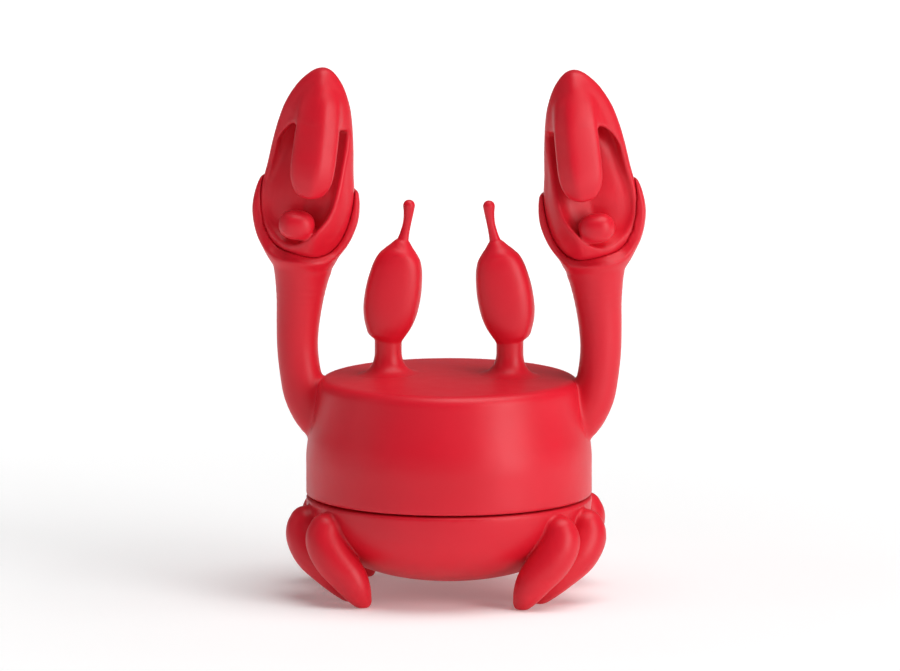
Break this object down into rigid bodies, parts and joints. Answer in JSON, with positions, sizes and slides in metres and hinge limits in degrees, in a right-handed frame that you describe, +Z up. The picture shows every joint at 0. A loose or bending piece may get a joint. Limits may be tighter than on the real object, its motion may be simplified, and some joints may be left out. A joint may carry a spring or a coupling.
{
  "type": "crab utensil rest",
  "caption": "Crab-shaped rest: a round sprung two-part jaw on six legs, with raised open claws that hold a thin handle and two stalked eyes.",
  "frame": {"origin": "on the ground plane, under the middle of the footprint; the round body's vertical axis is 2.2 mm in front of it", "axes": "+Z up; the crab faces -Y; +X is the crab's left claw, on the viewer's right when seen from the front"},
  "size_m": [0.079, 0.0616, 0.1063],
  "materials": {
    "satin_silicone": "satin",
    "deck_plastic": "matte",
    "grip_rubber": "matte",
    "pin_steel": "satin",
    "spring_steel": "satin"
  },
  "bodies": {
    "base": {"base_bowl": "satin_silicone", "base_deck": "deck_plastic", "lower_grip_pad": "grip_rubber", "base_screw_1": "pin_steel", "base_screw_2": "pin_steel", "base_screw_3": "pin_steel", "hinge_pin": "pin_steel", "leg_front_right": "satin_silicone", "leg_front_left": "satin_silicone", "leg_mid_right": "satin_silicone", "leg_mid_left": "satin_silicone", "leg_rear_right": "satin_silicone", "leg_rear_left": "satin_silicone", "jaw_spring": "spring_steel"},
    "upper": {"carapace": "satin_silicone", "carapace_deck": "deck_plastic", "upper_grip_pad": "grip_rubber", "carapace_screw_1": "pin_steel", "carapace_screw_2": "pin_steel", "carapace_screw_3": "pin_steel", "arm_right": "satin_silicone", "arm_left": "satin_silicone", "claw_palm_right": "satin_silicone", "claw_palm_left": "satin_silicone", "claw_thumb_right": "satin_silicone", "claw_thumb_left": "satin_silicone", "eyestalk_right": "satin_silicone", "eyestalk_left": "satin_silicone", "eye_right": "satin_silicone", "eye_left": "satin_silicone", "eye_horn_right": "satin_silicone", "eye_horn_left": "satin_silicone"},
    "finger_right": {"claw_finger_right": "satin_silicone"},
    "finger_left": {"claw_finger_left": "satin_silicone"}
  },
  "joints": [
    {"name": "jaw_hinge", "type": "hinge", "parent": "base", "child": "upper", "pos_m": [0, 0.028, 0.0201], "axis": [-1, 0, 0], "range_deg": [0, 20], "stiffness_Nm_per_rad": 0.12, "springref_deg": -40.11, "deforming": ["jaw_spring"]},
    {"name": "finger_flex_right", "type": "hinge", "parent": "upper", "child": "finger_right", "pos_m": [0.02551, -0.0074, 0.09677], "axis": [-0.9934, 0, -0.1149], "range_deg": [0, 18], "stiffness_Nm_per_rad": 0.02},
    {"name": "finger_flex_left", "type": "hinge", "parent": "upper", "child": "finger_left", "pos_m": [-0.02551, -0.0074, 0.09677], "axis": [-0.9934, 0, 0.1149], "range_deg": [0, 18], "stiffness_Nm_per_rad": 0.02}
  ]
}
